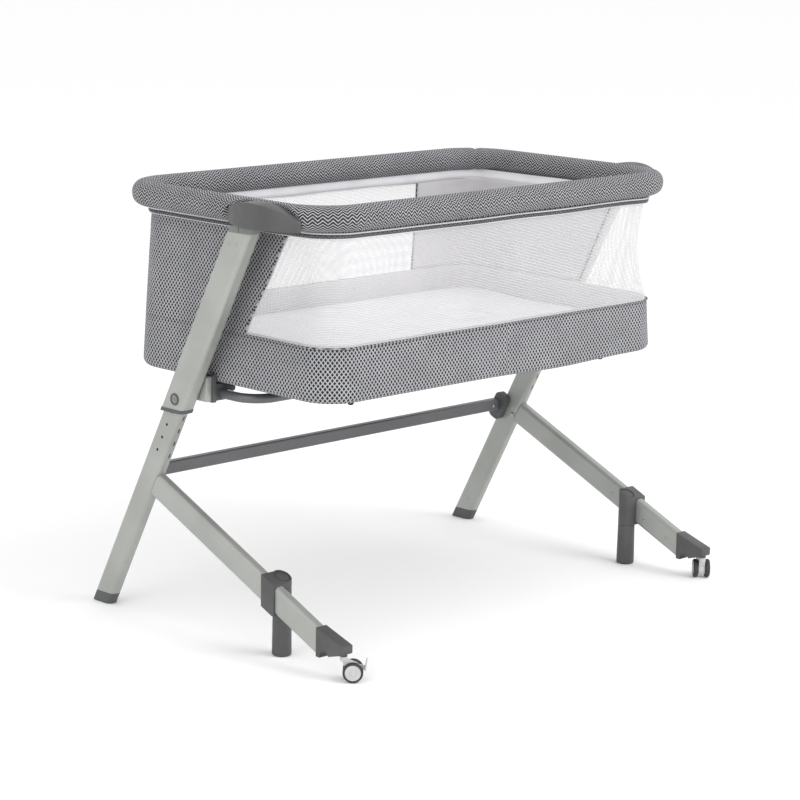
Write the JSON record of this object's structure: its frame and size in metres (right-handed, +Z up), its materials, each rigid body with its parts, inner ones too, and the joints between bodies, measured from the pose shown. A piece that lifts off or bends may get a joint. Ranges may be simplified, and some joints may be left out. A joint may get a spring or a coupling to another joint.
{
  "type": "bassinet on stand",
  "caption": "Padded fabric and mesh cradle that slides up and down two leaning end legs, with casters and screw-down feet at the front.",
  "frame": {"origin": "on the floor, at the middle of the footprint", "axes": "+X along the cradle's long side, -Y towards the side with the casters, +Z up"},
  "size_m": [0.955, 0.6605, 0.7425],
  "materials": {
    "leg_tube": "satin silver powder coat",
    "sleeve_tube": "satin silver powder coat",
    "frame_plastic": "fine moulded texture",
    "crossbar_steel": "satin dark grey powder coat",
    "dark_plastic": "fine moulded texture",
    "button_plastic": "satin",
    "socket_plastic": "fine moulded texture",
    "rivet": "zinc plated",
    "caster_plastic": "satin",
    "caster_tyre": "smooth soft tread",
    "axle_steel": "ground",
    "under_tube": "satin dark grey powder coat",
    "knit_fabric": "knitted herringbone",
    "mesh_fabric": "open warp knit mesh",
    "base_board": "plain hardboard",
    "mattress_fabric": "quilted woven cover",
    "base_foot": "matt black"
  },
  "bodies": {
    "stand": {"leg_tube_left": "leg_tube", "leg_tube_right": "leg_tube", "leg_top_guides": "dark_plastic", "back_foot_cap_left": "frame_plastic", "back_foot_cap_right": "frame_plastic", "front_leg_tube_left": "leg_tube", "front_leg_tube_right": "leg_tube", "caster_housing_left": "frame_plastic", "caster_housing_right": "frame_plastic", "post_barrel_left": "frame_plastic", "post_barrel_right": "frame_plastic", "post_top_discs": "frame_plastic", "post_screws": "rivet", "crossbar": "crossbar_steel", "crossbar_bracket_left": "dark_plastic", "crossbar_bracket_right": "dark_plastic", "frame_rivets": "rivet"},
    "cradle": {"sleeve_tube_left": "sleeve_tube", "sleeve_tube_right": "sleeve_tube", "sleeve_collar_left": "dark_plastic", "sleeve_collar_right": "dark_plastic", "button_bezel_left": "dark_plastic", "button_bezel_right": "dark_plastic", "bracket_socket_left": "socket_plastic", "bracket_socket_right": "socket_plastic", "bracket_cover_left": "frame_plastic", "bracket_cover_right": "frame_plastic", "sleeve_rivets": "rivet", "sleeve_stubs": "sleeve_tube", "base_joint_left": "dark_plastic", "base_joint_right": "dark_plastic", "under_frame_tube": "under_tube", "rail_tube": "under_tube", "rail_pad": "knit_fabric", "zip_band": "knit_fabric", "end_panel_left": "knit_fabric", "end_panel_right": "knit_fabric", "front_mesh": "mesh_fabric", "back_mesh": "mesh_fabric", "skirt": "knit_fabric", "base_board": "base_board", "mattress": "mattress_fabric", "base_feet": "base_foot"},
    "button_left": {"release_button_left": "button_plastic"},
    "post_foot_left": {"post_foot_left": "frame_plastic"},
    "caster_left": {"caster_fork_left": "caster_plastic", "brake_pin_left": "axle_steel"},
    "wheels_left": {"caster_axle_left": "axle_steel", "caster_tyres_left": "caster_tyre", "caster_hubs_left": "caster_plastic"},
    "brake_left": {"brake_lever_left": "caster_plastic"},
    "button_right": {"release_button_right": "button_plastic"},
    "post_foot_right": {"post_foot_right": "frame_plastic"},
    "caster_right": {"caster_fork_right": "caster_plastic", "brake_pin_right": "axle_steel"},
    "wheels_right": {"caster_axle_right": "axle_steel", "caster_tyres_right": "caster_tyre", "caster_hubs_right": "caster_plastic"},
    "brake_right": {"brake_lever_right": "caster_plastic"}
  },
  "joints": [
    {"name": "cradle_height", "type": "slide", "parent": "stand", "child": "cradle", "axis": [0, -0.4648, 0.8854], "range_m": [-0.1064, 0.0532]},
    {"name": "button_press_left", "type": "slide", "parent": "cradle", "child": "button_left", "axis": [1, 0, 0], "range_m": [0, 0.0016], "stiffness_N_per_m": 800, "springref_m": -0.001},
    {"name": "foot_extend_left", "type": "slide", "parent": "stand", "child": "post_foot_left", "axis": [0, 0, -1], "range_m": [0, 0.012]},
    {"name": "caster_swivel_left", "type": "hinge", "parent": "stand", "child": "caster_left", "pos_m": [-0.4495, -0.2985, 0.04], "axis": [0, 0, 1], "continuous": true},
    {"name": "wheel_spin_left", "type": "hinge", "parent": "caster_left", "child": "wheels_left", "pos_m": [-0.43889, -0.30911, 0.0165], "axis": [0.7071, 0.7071, 0], "continuous": true},
    {"name": "brake_press_left", "type": "hinge", "parent": "caster_left", "child": "brake_left", "pos_m": [-0.43253, -0.31547, 0.0245], "axis": [0.7071, 0.7071, 0], "range_deg": [-6, 10]},
    {"name": "button_press_right", "type": "slide", "parent": "cradle", "child": "button_right", "axis": [-1, 0, 0], "range_m": [0, 0.0016], "stiffness_N_per_m": 800, "springref_m": -0.001},
    {"name": "foot_extend_right", "type": "slide", "parent": "stand", "child": "post_foot_right", "axis": [0, 0, -1], "range_m": [0, 0.012]},
    {"name": "caster_swivel_right", "type": "hinge", "parent": "stand", "child": "caster_right", "pos_m": [0.4495, -0.2985, 0.04], "axis": [0, 0, 1], "continuous": true},
    {"name": "wheel_spin_right", "type": "hinge", "parent": "caster_right", "child": "wheels_right", "pos_m": [0.46011, -0.28789, 0.0165], "axis": [-0.7071, 0.7071, 0], "continuous": true},
    {"name": "brake_press_right", "type": "hinge", "parent": "caster_right", "child": "brake_right", "pos_m": [0.46647, -0.28153, 0.0245], "axis": [-0.7071, 0.7071, 0], "range_deg": [-6, 10]}
  ]
}
